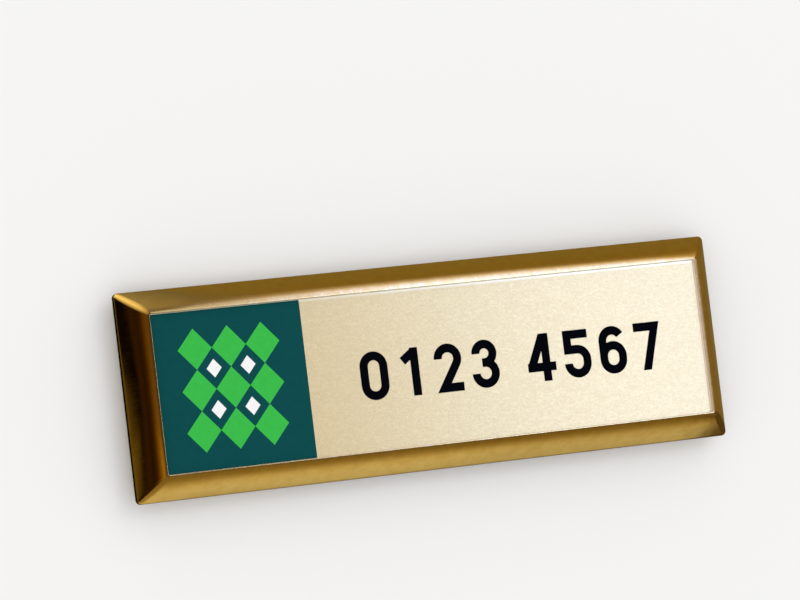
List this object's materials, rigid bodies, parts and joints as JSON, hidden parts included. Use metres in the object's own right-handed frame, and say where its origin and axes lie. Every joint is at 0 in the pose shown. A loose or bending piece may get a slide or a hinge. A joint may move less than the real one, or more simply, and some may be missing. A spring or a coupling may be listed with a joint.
{
  "type": "name badge",
  "caption": "Rectangular metal name badge: a convex brass border frame holds a printed brushed-gold plate, with a magnet bar behind it.",
  "frame": {"origin": "middle of the magnet bar's back face, on the plane that the badge lies on when it is put down face up", "axes": "+X along the badge in reading direction, +Y up the badge's face towards its upper edge, +Z out of the face"},
  "size_m": [0.078, 0.025, 0.0063],
  "materials": {
    "frame_brass": "polished and lacquered brass, softly worn along the crest and the mitred corners",
    "plate_gold": "pale champagne gold, fine satin brushing along the length",
    "magnet_nickel": "satin nickel plate",
    "print_teal": "opaque dark teal printing ink, satin",
    "print_green": "opaque mid green printing ink, satin",
    "print_white": "opaque white printing ink, satin",
    "print_black": "opaque black printing ink, satin"
  },
  "bodies": {
    "root": {"frame": "frame_brass", "name_plate": "plate_gold", "magnet_bar": "magnet_nickel"}
  },
  "joints": []
}
